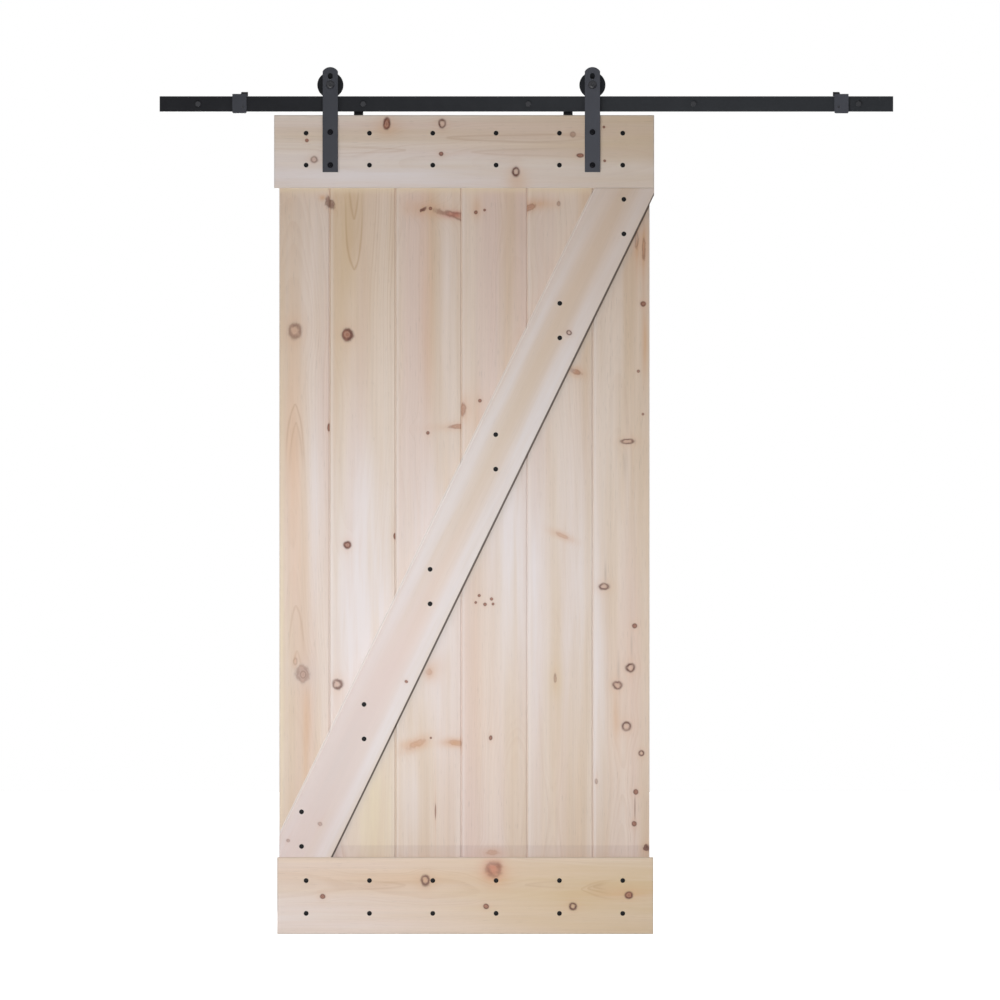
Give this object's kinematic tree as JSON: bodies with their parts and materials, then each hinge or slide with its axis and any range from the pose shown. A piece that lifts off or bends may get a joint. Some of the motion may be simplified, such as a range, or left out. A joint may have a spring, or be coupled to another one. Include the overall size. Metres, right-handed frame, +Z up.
{
  "type": "ledged and braced sliding door",
  "caption": "Ledged and braced sliding door of V-jointed pine boards with a diagonal brace, hung by flat black straps and grooved wheels from a wall-mounted steel bar with end stops.",
  "frame": {"origin": "on the wall plane, at the axis of the middle lag screw: the middle of the middle spacer's back face", "axes": "+Z up, +Y into the wall, +X to the right as seen from the front; the front faces -Y"},
  "size_m": [1.912, 0.112, 2.2592],
  "materials": {
    "board_pine": "unfinished knotty pine boards, planed",
    "ledge_pine": "unfinished knotty pine, planed, grain lengthwise",
    "brace_pine": "unfinished knotty pine, planed, grain lengthwise",
    "track_steel": "matte black powder coat",
    "strap_steel": "matte black powder coat",
    "bolt_steel": "satin black oxide",
    "wheel_steel": "satin black",
    "bearing_steel": "ground steel with a dark seal",
    "bumper_rubber": "black rubber"
  },
  "bodies": {
    "track": {"track_rail": "track_steel", "wall_spacers": "track_steel", "lag_screws": "bolt_steel", "left_stop": "strap_steel", "right_stop": "strap_steel", "left_stop_bumper": "bumper_rubber", "right_stop_bumper": "bumper_rubber"},
    "door": {"plank_1": "board_pine", "plank_2": "board_pine", "plank_3": "board_pine", "plank_4": "board_pine", "plank_5": "board_pine", "plank_6": "board_pine", "top_ledge": "ledge_pine", "bottom_ledge": "ledge_pine", "brace": "brace_pine", "left_strap": "strap_steel", "right_strap": "strap_steel", "strap_bolts": "bolt_steel", "strap_nuts": "bolt_steel", "axles": "bolt_steel", "axle_spacers": "bolt_steel", "axle_nuts": "bolt_steel", "left_anti_jump_block": "track_steel", "right_anti_jump_block": "track_steel"},
    "left_roller": {"left_wheel": "wheel_steel", "left_bearing": "bearing_steel"},
    "right_roller": {"right_wheel": "wheel_steel", "right_bearing": "bearing_steel"}
  },
  "joints": [
    {"name": "door_slide", "type": "slide", "parent": "track", "child": "door", "axis": [1, 0, 0], "range_m": [-0.18, 0.592]},
    {"name": "left_wheel_spin", "type": "hinge", "parent": "door", "child": "left_roller", "pos_m": [-0.516, -0.041, 0.0493], "axis": [0, 1, 0], "continuous": true},
    {"name": "right_wheel_spin", "type": "hinge", "parent": "door", "child": "right_roller", "pos_m": [0.1671, -0.041, 0.0493], "axis": [0, 1, 0], "continuous": true}
  ],
  "couplings": [
    {"joint": "left_wheel_spin", "follows": "door_slide", "rad_per_m": 34.483},
    {"joint": "right_wheel_spin", "follows": "door_slide", "rad_per_m": 34.483}
  ]
}
